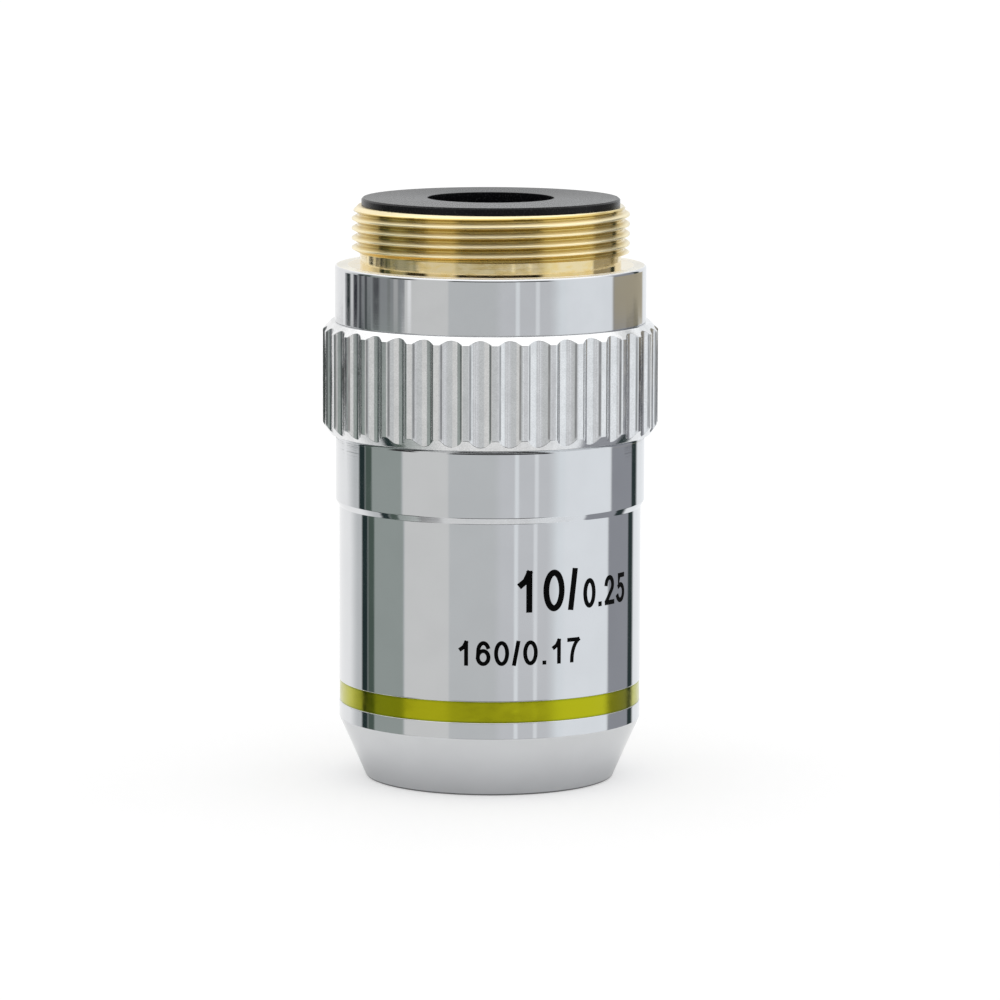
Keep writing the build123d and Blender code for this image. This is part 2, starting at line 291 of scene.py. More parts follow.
def chromePlate(start):
    c = chrome
    x, y, z, r = places(start)
    cloud = cloudy(start, (x, y, z), c["cloudSize"])
    turned = noise(start, r * c["turnedSize"], z * c["turnedSize"], 0.0, 3.0)
    return {
        "Base Color": cloud.rise(*spread).blend(*(tone(c["colour"], share) for share in c["shades"])),
        "Metallic": 1.0,
        "Roughness": cloud.rise(*c["dullSpread"], *c["roughness"]),
        "Normal": bump(start, turned, c["turnedDepth"]),
    }


brass = {
    "bright": (0.83, 0.69, 0.40),
    "deep": (0.82, 0.64, 0.29),
    "stainSize": 0.9,
    "stainSquash": 2.2,             # stains are this fine along the axis
    "stainSpread": (0.42, 0.68),
    "wornSpread": (0.35, 0.7),
    "roughness": (0.06, 0.12),
    "faced": (0.95, 0.91, 0.80),    # the faced shoulder, its paler colour a painted sheen of the light it catches from above
    "facedRoughness": 0.42,
    "facedFrom": (10.3, 10.45),     # radius over which the faced shoulder begins
    "facedTo": (37.56, 37.62),
    "underCrest": (0.08, 0.60),     # the lower flank and the root, as shares of a pitch, which get painted shade
    "belowCrest": (0.10, 0.74),     # all but the crest
    # painted shade on the lower flank and the root
    "under": (0.62, 0.47, 0.16),
    "crest": (1.0, 0.88, 0.57),     # painted highlight
    "underSoftness": 0.05,
    "crestSoftness": 0.09,
    "cutSoftness": 0.1,
    "underRoughness": 0.10,
    "cutRoughness": 0.38,
    "plateShades": (0.94, 0.98),
    "plateCloudSize": 0.4,
    "platedBelow": (37.39, 37.45),  # the plating ends at the top edge of the collar
    "platedBeyond": (11.14, 11.24),
    "turnedSize": 9.0,
    "turnedDepth": 0.003,
    "platedShare": 0.06,            # share of the tool marks' depth left in the plating
    "anisotropy": 0.9,              # the tool's marks run round the axis
    "anisotropyTurn": 0.25,
}


def platedBrass(start):
    # bare brass above the collar's top edge, plating below it and round the edge
    b = brass
    x, y, z, r = places(start)
    bare = z.rise(*b["platedBelow"]) * r.rise(*b["platedBeyond"], 1.0, 0.0)
    cloud = cloudy(start, (x, y, z), b["plateCloudSize"])
    turned = noise(start, r * b["turnedSize"], z * b["turnedSize"], 0.0, 3.0)
    stain = noise(start, x * b["stainSize"], y * b["stainSize"], z * b["stainSquash"], 4.0, 0.6)
    metal = stain.rise(*b["stainSpread"]).blend(tone(b["bright"]), tone(b["deep"]))
    faced = r.rise(*b["facedFrom"]) * z.rise(*b["facedTo"], 1.0, 0.0)
    # the faced shoulder: a rough finish, and a paler colour that is painted sheen
    metal = faced.blend(metal, tone(b["faced"]))
    plate = cloud.rise(*spread).blend(*(tone(chrome["colour"], share) for share in b["plateShades"]))
    dull = cloud.rise(*chrome["dullSpread"], *chrome["roughness"])
    # share of a pitch below the thread's crest, which climbs once round: 0 crest, 0.5 root
    cut = z.rise(body["reliefTop"] - b["cutSoftness"], body["reliefTop"] + b["cutSoftness"])
    turn = start.math("ARCTAN2", x, -y) / (2 * pi)
    below = start.math("FRACT", (body["crestHeight"] - z) / body["pitch"] + turn)
    under = below.band(*b["underCrest"], b["underSoftness"])
    crest = 1 - below.band(*b["belowCrest"], b["crestSoftness"])
    # painted shade on the thread's lower flank and root
    metal = (cut * under).blend(metal, tone(b["under"]))
    # painted highlight along the thread's crest
    metal = (cut * crest).blend(metal, tone(b["crest"]))
    worn = stain.rise(*b["wornSpread"], *b["roughness"])
    worn = worn + cut * (under * b["underRoughness"] + (1 - under) * b["cutRoughness"] - worn)
    worn = worn + faced * (b["facedRoughness"] - worn)
    return {
        "Base Color": bare.blend(plate, metal),
        "Metallic": 1.0,
        "Roughness": dull + bare * (worn - dull),
        "Normal": bump(start, turned * (b["platedShare"] + (1 - b["platedShare"]) * bare), b["turnedDepth"]),
        "Anisotropic": b["anisotropy"],
        "Anisotropic Rotation": b["anisotropyTurn"],
    }


satin = {
    "colour": (0.80, 0.805, 0.81),
    "shades": (0.84, 1.06),
    "roughness": (0.05, 0.11),
    "millSize": 7.0,
    "millStretch": 0.5,         # milled marks are this coarse along the axis
    "grainSize": 9.0,
    "patchSize": 1.2,
    "patchStretch": 0.7,
    "grainShare": 0.6,
    "millShare": 0.6,
    "millDepth": 0.0022,
    "flank": (0.31, 0.37),      # where a flute's flank rises, as a share of the pitch from its middle
    "flankSoftness": 0.02,
    "flankPaintedShade": 0.40,         # painted shade there
    "milled": (26.1, 32.9),
    "milledSoftness": 0.15,
}


def satinMetal(start):
    # milled marks run up the flutes, fine blasted grain lies over them, and painted shade lies along the
    # foot of the flutes' flanks
    s = satin
    x, y, z, r = places(start)
    mill = noise(start, x * s["millSize"], y * s["millSize"], z * s["millStretch"], 3.0)
    grain = noise(start, *(coordinate * s["grainSize"] for coordinate in (x, y, z)), 3.0, 0.65)
    patch = noise(start, x * s["patchSize"], y * s["patchSize"], z * s["patchStretch"], 3.0)
    shade = grain * s["grainShare"] + patch * (1 - s["grainShare"])
    metal = shade.rise(*spread).blend(*(tone(s["colour"], share) for share in s["shades"]))
    # distance from the middle of the nearest flute, as a share of the pitch
    turn = (start.math("ARCTAN2", y, x) * (180 / pi) - grip["firstValley"]) * (grip["flutes"] / 360)
    aside = start.math("ABSOLUTE", start.math("FRACT", turn + 0.5) - 0.5)
    flank = aside.band(*s["flank"], s["flankSoftness"]) * z.band(*s["milled"], s["milledSoftness"])
    return {
        # painted shade along the foot of each flute's flanks, in patches
        "Base Color": (flank * (0.5 + patch)).blend(metal, tone(s["colour"], s["flankPaintedShade"])),
        "Metallic": 1.0,
        "Roughness": patch.rise(*spread, *s["roughness"]),
        "Normal": bump(start, mill * s["millShare"] + grain * (1 - s["millShare"]), s["millDepth"]),
    }


blackPaint = {
    "colour": (0.006, 0.006, 0.007),
    "worn": (0.03, 0.03, 0.032),
    "wornSpread": (0.55, 0.8),
    "roughness": (0.20, 0.32),
    "size": 8.0,
    "turnedShare": 0.7,
    "depth": 0.004,
    "dish": 0.07,               # slope of the turned faces towards the axis
    "specular": 0.12,
}


def blackSatin(start):
    b = blackPaint
    x, y, z, r = places(start)
    grain = cloudy(start, (x, y, z), b["size"], 3.0)
    turned = noise(start, r * b["size"], z * b["size"], 0.0, 2.0)
    marks = turned * b["turnedShare"] + grain * (1 - b["turnedShare"])
    return {
        "Base Color": grain.rise(*b["wornSpread"]).blend(tone(b["colour"]), tone(b["worn"])),
        "Metallic": 0.0,
        "Roughness": grain.rise(*spread, *b["roughness"]),
        "Normal": bump(start, marks * b["depth"] + r * b["dish"], 1.0),
        "Specular IOR Level": b["specular"],
    }


enamel = {
    "colour": (0.46, 0.455, 0.012),
    "deep": (0.36, 0.38, 0.012),
    "roughness": (0.12, 0.2),
    "edge": 0.12,               # the enamel is darker this near the groove's edges
    "edgeSoftness": 0.1,
    "cloudSize": 0.8,
    "cloudSquash": 1.5,
    "cloudRange": (0.75, 0.5),  # least share of the colour, and what the clouds add
    "depth": 0.004,
}


def oliveEnamel(start):
    e = enamel
    x, y, z, r = places(start)
    low, high = nodeSize("colour_band")[1:]
    middle = z.band(low + e["edge"], high - e["edge"], e["edgeSoftness"])
    cloud = noise(start, x * e["cloudSize"], y * e["cloudSize"], z * e["cloudSquash"], 4.0)
    least, added = e["cloudRange"]
    share = middle * (least + cloud * added)
    return {
        "Base Color": share.rise(0.0, 1.0).blend(tone(e["deep"]), tone(e["colour"])),
        "Metallic": 1.0,
        "Roughness": cloud.rise(*spread, *e["roughness"]),
        "Normal": bump(start, cloud, e["depth"]),
    }


blackened = {
    "colour": (0.012, 0.011, 0.010),
    "rubbed": (0.05, 0.042, 0.03),
    "rubbedSize": 1.1,
    "rubbedSpread": (0.5, 0.8),
    "roughness": (0.45, 0.62),
    "metallic": 0.3,
    "turnedSize": 7.0,
    "turnedDepth": 0.008,
}


def blackenedBrass(start):
    b = blackened
    x, y, z, r = places(start)
    turned = noise(start, r * b["turnedSize"], z * b["turnedSize"], 0.0, 2.0)
    rubbed = cloudy(start, (x, y, z), b["rubbedSize"])
    return {
        "Base Color": rubbed.rise(*b["rubbedSpread"]).blend(tone(b["colour"]), tone(b["rubbed"])),
        "Metallic": b["metallic"],
        "Roughness": rubbed.rise(*spread, *b["roughness"]),
        "Normal": bump(start, turned, b["turnedDepth"]),
    }


coating = {
    "clear": (1.0, 1.0, 1.0),
    "tinted": (0.93, 0.96, 1.0),
    "tintedFrom": (1.0, 5.0),   # radii over which the tint and the haze grow
    "hazeFrom": (2.0, 5.0),
    "haze": (0.005, 0.025),
    "glass": 1.62,              # refractive index
    "thickness": 140.0,         # nanometres
    "film": 1.38,
}


def coatedGlass(start):
    # clear glass with a thin bluish coating, a trace of haze towards the rim
    c = coating
    x, y, z, r = places(start)
    return {
        "Base Color": r.rise(*c["tintedFrom"]).blend(tone(c["clear"]), tone(c["tinted"])),
        "Roughness": r.rise(*c["hazeFrom"], *c["haze"]),
        "Transmission Weight": 1.0,
        "IOR": c["glass"],
        "Thin Film Thickness": c["thickness"],
        "Thin Film IOR": c["film"],
    }


ink = {
    "colour": (0.001, 0.001, 0.001),
    "thin": (0.004, 0.004, 0.004),
    "thinSpread": (0.4, 0.8),
    "roughness": (0.4, 0.6),
    "size": 14.0,
    "depth": 0.002,
    "specular": 0.04,
}


def printInk(start):
    x, y, z, r = places(start)
    grain = cloudy(start, (x, y, z), ink["size"], 2.0)
    return {
        "Base Color": grain.rise(*ink["thinSpread"]).blend(tone(ink["colour"]), tone(ink["thin"])),
        "Metallic": 0.0,
        "Roughness": grain.rise(*spread, *ink["roughness"]),
        "Normal": bump(start, grain, ink["depth"]),
        "Specular IOR Level": ink["specular"],
    }


finishes = {
    "chromePlate": chromePlate,
    "platedBrass": platedBrass,
    "satinMetal": satinMetal,
    "blackSatin": blackSatin,
    "oliveEnamel": oliveEnamel,
    "blackenedBrass": blackenedBrass,
    "coatedGlass": coatedGlass,
    "printInk": printInk,
}


# outer sleeve: nose, cone, long tube with the band's groove, step and upper tube

sleeve = {
    "coneHeight": 4.43,
    "coneEdge": 0.1,
    "noseRadius": 9.03,
    "noseEdge": 0.25,
    "openingRadius": 6.3,
    "openingEdge": 0.08,
    "noseWall": 1.3,
    "tubeRadius": 11.0,
    "tubeBore": 9.9,
    "grooveDepth": 0.15,
    "grooveEdge": 0.05,
    "stepBottom": 19.97,
    "stepTop": 20.42,
    "stepEdge": 0.05,
    "stepTopEdge": 0.08,
    "screwBore": 10.18,
    "screwBottom": 20.4,
    "topRounding": 0.3,
}


def makeSleeve():
    outer, low, top = nodeSize("outer_sleeve")
    bandLow, bandHigh = nodeSize("colour_band")[1:]
    s = sleeve
    tube, groove = s["tubeRadius"], s["tubeRadius"] - s["grooveDepth"]
    corners = [
        (s["openingRadius"], low, s["openingEdge"]),
        (s["noseRadius"], low, s["noseEdge"]),
        (tube, s["coneHeight"], s["coneEdge"]),
        (tube, bandLow, s["grooveEdge"]),
        (groove, bandLow),
        (groove, bandHigh),
        (tube, bandHigh, s["grooveEdge"]),
        (tube, s["stepBottom"], s["stepEdge"]),
        (outer, s["stepTop"], s["stepTopEdge"]),
        (outer, top, s["topRounding"]),
        (s["screwBore"], top),
        (s["screwBore"], s["screwBottom"]),
        (s["tubeBore"], s["screwBottom"]),
        (s["tubeBore"], s["noseWall"] + s["tubeBore"] - s["openingRadius"]),
        (s["openingRadius"], s["noseWall"], s["openingEdge"]),
    ]
    return solidMesh("sleeve", spin(section(corners)))


addPiece("sleeve", makeSleeve(), "chromePlate", "bright_chrome", "outer_sleeve")


# colour band, almost flush in its groove

bandEdge = 0.04


def makeBand():
    outer, low, high = nodeSize("colour_band")
    groove = sleeve["tubeRadius"] - sleeve["grooveDepth"]
    corners = [(groove, low), (outer, low, bandEdge), (outer, high, bandEdge), (groove, high)]
    return solidMesh("band", spin(section(corners)))


addPiece("band", makeBand(), "oliveEnamel", "olive_enamel", "colour_band")


# grip ring with its milled flutes

grip = {
    "flutes": 36,
    "firstValley": 6.8,         # degrees from +X
    "depth": 0.33,
    "cutterRadius": 1.2,
    "edgeRadius": 0.12,
    "bore": 10.37,
    "topBevel": 0.58,
    "bottomBevelWidth": 0.5,
    "bottomBevelHeight": 0.75,
    "softness": 0.06,           # rounding of the bevels' edges
    "columnsPerFlute": 26,
}


def fluteOutline(outer, turn):
    # outline of the milled bar: the smaller of the land circle and the cutter's circle, with a
    # rolling ball of the edge radius between them that touches both
    g = grip
    pitch = 2 * pi / g["flutes"]
    offset = np.abs((turn - radians(g["firstValley"]) + pitch / 2) % pitch - pitch / 2)
    cutterAt = outer - g["depth"] + g["cutterRadius"]
    cutter = cutterAt * np.cos(offset) - np.sqrt(g["cutterRadius"] ** 2 - (cutterAt * np.sin(offset)) ** 2)
    ballAt, reach = outer - g["edgeRadius"], g["cutterRadius"] + g["edgeRadius"]
    ballTurn = np.arccos((ballAt ** 2 + cutterAt ** 2 - reach ** 2) / (2 * ballAt * cutterAt))
    aside = offset - ballTurn
    inside = np.clip(g["edgeRadius"] ** 2 - (ballAt * np.sin(aside)) ** 2, 0, None)
    ball = ballAt * np.cos(aside) + np.sqrt(inside)
    share = g["cutterRadius"] / reach
    away = cutterAt + (ballAt * cos(ballTurn) - cutterAt) * share
    touch = np.arctan2(ballAt * sin(ballTurn) * share, away)
    return np.where(offset < touch, cutter, np.where(offset < ballTurn, ball, outer))


def makeGrip():
    # the section's wall moves in to the flute's outline, and each bevel's edge slides along its cone
    outer, low, high = nodeSize("grip_ring")
    g = grip
    slope = g["bottomBevelHeight"] / g["bottomBevelWidth"]
    corners = [
        (g["bore"], low),
        (outer - g["bottomBevelWidth"], low, g["softness"]),
        (outer, low + g["bottomBevelHeight"], g["softness"]),
        (outer, high - g["topBevel"], g["softness"]),
        (outer - g["topBevel"], high, g["softness"]),
        (g["bore"], high),
    ]
    profile = section(corners)
    perCorner = len(roundedCorner(corners[1], corners[2], corners[3], g["softness"]))
    still = np.zeros(1 + perCorner)
    edge = np.ones(perCorner)
    follows = np.concatenate([still, edge, edge, still])[:, None]
    slides = np.concatenate([still, edge * slope, -edge, still])[:, None]
    count = g["flutes"] * g["columnsPerFlute"]
    turn = np.linspace(0, 2 * pi, count, endpoint=False) + radians(g["firstValley"])
    inward = fluteOutline(outer, turn) - outer
    radius = profile[:, :1] + follows * inward
    height = profile[:, 1:] + slides * inward
    return solidMesh("grip", np.stack([radius * np.cos(turn), radius * np.sin(turn), height], 2))


addPiece("grip", makeGrip(), "satinMetal", "satin_chrome", "grip_ring")


# threaded body: hidden screw and spigot, plated collar, bare shoulder and the mounting thread

body = {
    "screwBore": 8.0,
    "bore": 8.2,
    "boreStep": 34.27,
    "screwRadius": 10.15,
    "screwLead": 0.3,
    "spigotRadius": 10.35,
    "spigotBottom": 25.4,
    "collarBottom": 33.44,
    "collarFoot": 0.05,
    "collarRadius": 11.33,
    "collarEdge": 0.2,
    "shoulder": 37.53,
    "reliefRadius": 9.5,
    "reliefTop": 38.48,
    "threadRadius": 10.1,
    "leadRadius": 9.65,
    "pitch": 25.4 / 36,
    "crestHeight": 41.06,       # where the top crest passes the front
    "flank": 1.921,             # 1 / tan of half the 55 degree form
    "formRounding": 0.0969,
    "formDepth": 0.4518,
    "rowsPerTurn": 22,
    "crease": 40,
}


def threadRadius(offset):
    # Whitworth form by distance from the crest: straight flanks with equal rounding of crest and root
    b = body
    away = np.abs((offset + b["pitch"] / 2) % b["pitch"] - b["pitch"] / 2)
    rounding, depth = b["formRounding"], b["formDepth"]
    flank = b["flank"] * (away - b["pitch"] / 4) + depth / 2
    crest = rounding - np.sqrt(np.clip(rounding ** 2 - away ** 2, 0, None))
    fromRoot = b["pitch"] / 2 - away
    root = depth - rounding + np.sqrt(np.clip(rounding ** 2 - fromRoot ** 2, 0, None))
    turnsAt = rounding * b["flank"] / sqrt(1 + b["flank"] ** 2)
    form = np.where(away < turnsAt, crest, np.where(fromRoot < turnsAt, root, flank))
    return b["threadRadius"] - form


def makeBody():
    # rows of the section below and inside, and between them rows that climb with the thread:
    # z = row + pitch * turn, held between the relief and the top face
    b = body
    outer, low, top = nodeSize("mount_body")
    corners = [
        (b["bore"], b["boreStep"]),
        (b["screwBore"], b["boreStep"]),
        (b["screwBore"], low),
        (b["screwRadius"] - b["screwLead"], low),
        (b["screwRadius"], low + b["screwLead"]),
        (b["screwRadius"], b["spigotBottom"]),
        (b["spigotRadius"], b["spigotBottom"]),
        (b["spigotRadius"], b["collarBottom"]),
        (b["collarRadius"], b["collarBottom"], b["collarFoot"]),
        (b["collarRadius"], b["shoulder"], b["collarEdge"]),
        (b["reliefRadius"], b["shoulder"]),
        (b["reliefRadius"], b["reliefTop"]),
        (b["bore"], top),
    ]
    profile = section(corners)
    share = np.linspace(0, 1, columns["round"] + 1)
    turn = share * 2 * pi - pi / 2
    spacing = b["pitch"] / b["rowsPerTurn"]
    first = b["reliefTop"] - b["pitch"]
    first -= (first - b["crestHeight"]) % spacing
    rows = np.arange(first, top + spacing, spacing)[:, None]
    climbing = np.clip(rows + b["pitch"] * share, b["reliefTop"], top)
    radius = threadRadius(climbing - b["pitch"] * share - b["crestHeight"])
    radius = np.minimum(radius, b["leadRadius"] + top - climbing)
    wide = np.ones_like(share)
    lower, upper = profile[:-1], profile[-1:]
    allRadius = np.vstack([lower[:, :1] * wide, radius, upper[:, :1] * wide])
    allHeight = np.vstack([lower[:, 1:] * wide, climbing, upper[:, 1:] * wide])
    grid = np.stack([allRadius * np.cos(turn), allRadius * np.sin(turn), allHeight], 2)
    return solidMesh("body", grid, closeColumns=False, weld=True, crease=b["crease"])


addPiece("body", makeBody(), "platedBrass", "brass", "mount_body")


# stop ring on top, with its light hole

stop = {
    "holeRadius": 4.6,
    "holeEdge": 0.04,
    "lip": 0.4,
    "bevel": 0.4,
    "plate": 1.3,
    "chamfer": 0.12,
    "chamferEdge": 0.05,
    "threadTop": 41.83,
    "skirtRadius": 8.17,
    "skirtBore": 7.07,
}


def makeStop():
    outer, low, top = nodeSize("stop_ring")
    s = stop
    corners = [
        (s["holeRadius"], top, s["holeEdge"]),
        (outer - s["chamfer"], top, s["chamferEdge"]),
        (outer, top - s["chamfer"], s["chamferEdge"]),
        (outer, s["threadTop"]),
        (s["skirtRadius"], s["threadTop"]),
        (s["skirtRadius"], low),
        (s["skirtBore"], low),
        (s["skirtBore"], top - s["plate"]),
        (s["holeRadius"] + s["bevel"], top - s["plate"]),
        (s["holeRadius"], top - s["lip"]),
    ]
    return solidMesh("stopRing", spin(section(corners)))


addPiece("stopRing", makeStop(), "blackSatin", "black_plating", "stop_ring")


# lens barrel and the front cell, which show in the nose's opening

barrel = {
    "noseRadius": 6.2,
    "coneBottom": 2.3,
    "coneTop": 5.2,
    "frontBore": 5.4,
    "ledgeRadius": 4.6,
    "ledgeBottom": 5.63,
    "ledgeTop": 6.83,
    "bore": 6.92,
    "screwRadius": 7.97,
    "flangeTop": 20.7,
    "mouthEdge": 0.04,
    "noseEdge": 0.08,
    "coneEdge": 0.2,
    "outerEdge": 0.1,
}


def makeBarrel():
    outer, low, top = nodeSize("lens_barrel")
    b = barrel
    corners = [
        (b["frontBore"], low, b["mouthEdge"]),
        (b["noseRadius"], low, b["noseEdge"]),
        (b["noseRadius"], b["coneBottom"], b["coneEdge"]),
        (outer, b["coneTop"], b["outerEdge"]),
        (outer, b["flangeTop"]),
        (b["screwRadius"], b["flangeTop"]),
        (b["screwRadius"], top, b["outerEdge"]),
        (b["bore"], top, b["outerEdge"]),
        (b["bore"], b["ledgeTop"]),
        (b["ledgeRadius"], b["ledgeTop"]),
        (b["ledgeRadius"], b["ledgeBottom"]),
        (b["frontBore"], b["ledgeBottom"]),
    ]
    return solidMesh("barrel", spin(section(corners)))


addPiece("barrel", makeBarrel(), "blackenedBrass", "blackened_brass", "lens_barrel")

front = {
    "clearRadius": 3.52,
    "seat": 1.05,
    "mouthBevel": 0.4,
    "lensRadius": 4.22,
    "hollowRadius": 10.0,
    "backRadius": 7.5,
    "backBevel": 4.25,
    "lensGap": 0.02,
    "mouthEdge": 0.04,
    "cellEdge": 0.06,
    "seatEdge": 0.03,
}


def makeFrontCell():
    outer, low, top = nodeSize("front_cell")
    f = front
    corners = [
        (f["clearRadius"] + f["mouthBevel"], low, f["mouthEdge"]),
        (outer, low, f["cellEdge"]),
        (outer, top),
        (f["lensRadius"] + f["lensGap"], top),
        (f["lensRadius"] + f["lensGap"], f["seat"]),
        (f["clearRadius"], f["seat"], f["seatEdge"]),
    ]
    return solidMesh("frontCell", spin(section(corners)))


def sagitta(radius, reach):
    return radius - sqrt(radius ** 2 - reach ** 2)


def makeLens(name, lens, low, rim):
    # two ball caps joined by flat bevels and the ground edge, which runs from the low end to the rim
    reach = lens["clearRadius"]
    hollow = arc(low + sagitta(lens["hollowRadius"], reach), -lens["hollowRadius"], reach)
    back = arc(rim + sagitta(lens["backRadius"], reach), -lens["backRadius"], reach)[::-1]
    ground = np.array([[lens["lensRadius"], low], [lens["lensRadius"], rim]])
    profile = np.vstack([hollow, ground, back])
    return solidMesh(name, spin(profile, columns["lens"]), closeRows=False, weld=True)


addPiece("frontCell", makeFrontCell(), "blackSatin", "black_plating", "front_cell")
frontLens = makeLens("frontLens", front, front["seat"], front["backBevel"])
addPiece("frontLens", frontLens, "coatedGlass", "coated_glass", "front_lens")


# rear of the lens stack, seen down the light hole

rear = {
    "clearRadius": 5.0,
    "lensRadius": 5.35,
    "hollowRadius": 16.0,
    "backRadius": 11.0,
    "stopHole": 4.3,
    "stopBevel": 0.25,
}


def makeRearLens():
    outer, low, top = nodeSize("rear_lens")
    return makeLens("rearLens", rear, low, top - sagitta(rear["backRadius"], rear["clearRadius"]))


def makeAperture():
    outer, low, top = nodeSize("aperture_stop")
    hole = rear["stopHole"]
    corners = [(hole, low), (outer, low), (outer, top), (hole + rear["stopBevel"], top)]
    return solidMesh("aperture", spin(section(corners), columns["inner"]))


addPiece("rearLens", makeRearLens(), "coatedGlass", "coated_glass", "rear_lens")
addPiece("aperture", makeAperture(), "blackenedBrass", "blackened_brass", "aperture_stop")


# figures printed on the tube

figures = {
    "ink": 0.012,               # the ink stands this far off the plating
    "fill": 0.82,               # a digit fills this share of its cell
    "sharpest": 0.5,            # keeps the mitre of a sharp corner short
    "rows": [
        # text, left edge along the tube from its front, foot, cap height, stroke, cell of a digit
        # and cell of a bar or point
        ("10/", 1.71, 13.58, 3.02, 0.45, 2.04, 1.05),
        ("0.25", 7.11, 13.60, 2.15, 0.34, 1.42, 0.70),
        ("160/0.17", -2.42, 9.77, 1.80, 0.29, 1.32, 0.78),
    ],
}


def bow(x, y, width, height, fromDegrees, toDegrees, steps=22):
    # points of an ellipse's arc: x + a cos t, y + b sin t
    turn = np.radians(np.linspace(fromDegrees, toDegrees, steps))
    return np.stack([x + width * np.cos(turn), y + height * np.sin(turn)], 1)


def rule(start, end, steps=2):
    # points of a straight line, in enough steps that a level one follows the tube's curve
    return np.linspace(start, end, steps)


def joined(*lines):
    return np.vstack(lines)


# centre lines of each figure in a box from 0 to 1 both ways; each line is one stroke
strokes = {
    "0": [bow(0.5, 0.5, 0.5, 0.5, 84, 456, 48)],
    "1": [rule((0.62, 0.0), (0.62, 1.0)), joined([(0.14, 0.70), (0.40, 0.80), (0.60, 1.0)])],
    "2": [
        joined(bow(0.48, 0.71, 0.46, 0.29, 170, -36, 24), [(0.08, 0.06)]),
        rule((0.06, 0.0), (1.0, 0.0), 6),
    ],
    "5": [
        joined(rule((0.94, 1.0), (0.24, 1.0), 4), [(0.10, 0.47)],
               bow(0.46, 0.31, 0.52, 0.31, 128, -152, 30)),
    ],
    "6": [joined(bow(0.52, 0.62, 0.46, 0.38, 30, 170, 16), bow(0.5, 0.31, 0.48, 0.31, 180, 540, 36))],
    "7": [rule((0.0, 1.0), (0.94, 1.0), 6), bow(1.35, 0.0, 1.05, 1.04, 110, 180, 12)],
    "/": [rule((0.1, 0.0), (0.9, 1.0))],
    ".": [rule((0.5, 0.0), (0.5, 0.001))],
}


def strokeEdges(line, width):
    # square ends reach half a width further, and both edges stand half a width off the centre
    # line, along the mitre of its corners
    step = np.diff(line, axis=0)
    step /= np.linalg.norm(step, axis=1)[:, None]
    side = np.stack([-step[:, 1], step[:, 0]], 1)
    before, after = np.vstack([side[:1], side]), np.vstack([side, side[-1:]])
    mitre = before + after
    mitre /= np.clip((mitre * before).sum(1), figures["sharpest"], None)[:, None]
    if np.linalg.norm(line[0] - line[-1]) > width / 2 or len(line) < 3:
        line = line + np.vstack([-step[:1], 0 * step[1:], step[-1:]]) * width / 2
    return line - mitre * width / 2, line + mitre * width / 2


def makeFigures():
    # each stroke is a thin closed strip laid round the tube: turn = arc length / radius
    tube, lift = sleeve["tubeRadius"], figures["ink"]
    points, faces, base = [], [], 0
    for text, left, foot, cap, width, digit, narrow in figures["rows"]:
        for letter in text:
            cell = digit if letter.isdigit() else narrow
            across = cell * figures["fill"] - width
            corner = (left + (cell - across) / 2, foot + width / 2)
            for line in strokes[letter]:
                near, far = strokeEdges(line * (across, cap - width) + corner, width)
                flat = np.stack([near, far, far, near], 1)
                radius = tube + lift * np.array([1, 1, -1, -1])
                turn = flat[..., 0] / tube - pi / 2
                grid = np.stack([radius * np.cos(turn), radius * np.sin(turn), flat[..., 1]], 2)
                count = len(line)
                ends = np.array([[3, 2, 1, 0], [0, 1, 2, 3]]) + [[0], [4 * count - 4]]
                points.append(grid.reshape(-1, 3) * mm)
                faces += [gridFaces(count, 4, False, True) + base, ends + base]
                base += 4 * count
            left += cell
    mesh = bpy.data.meshes.new("figures")
    mesh.from_pydata(np.vstack(points).tolist(), [], np.vstack(faces).tolist())
    work = bmesh.new()
    work.from_mesh(mesh)
    bmesh.ops.recalc_face_normals(work, faces=work.faces)
    work.to_mesh(mesh)
    work.free()
    return mesh


addPiece("figures", makeFigures(), "printInk", "black_plating")


# finishes of the pieces inside, which keep their own shape

hidden = {
    "first_flint": "coatedGlass",
    "first_crown": "coatedGlass",
    "second_flint": "coatedGlass",
    "second_crown": "coatedGlass",
    "parfocal_shim": "platedBrass",
}
for name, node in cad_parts.items():
    for place in node.material_slots:
        place.material = finish(hidden.get(name, "blackenedBrass"))
print("inner pieces finished")


# studio: a white room with grey and black cards round the object, as its plating shows them

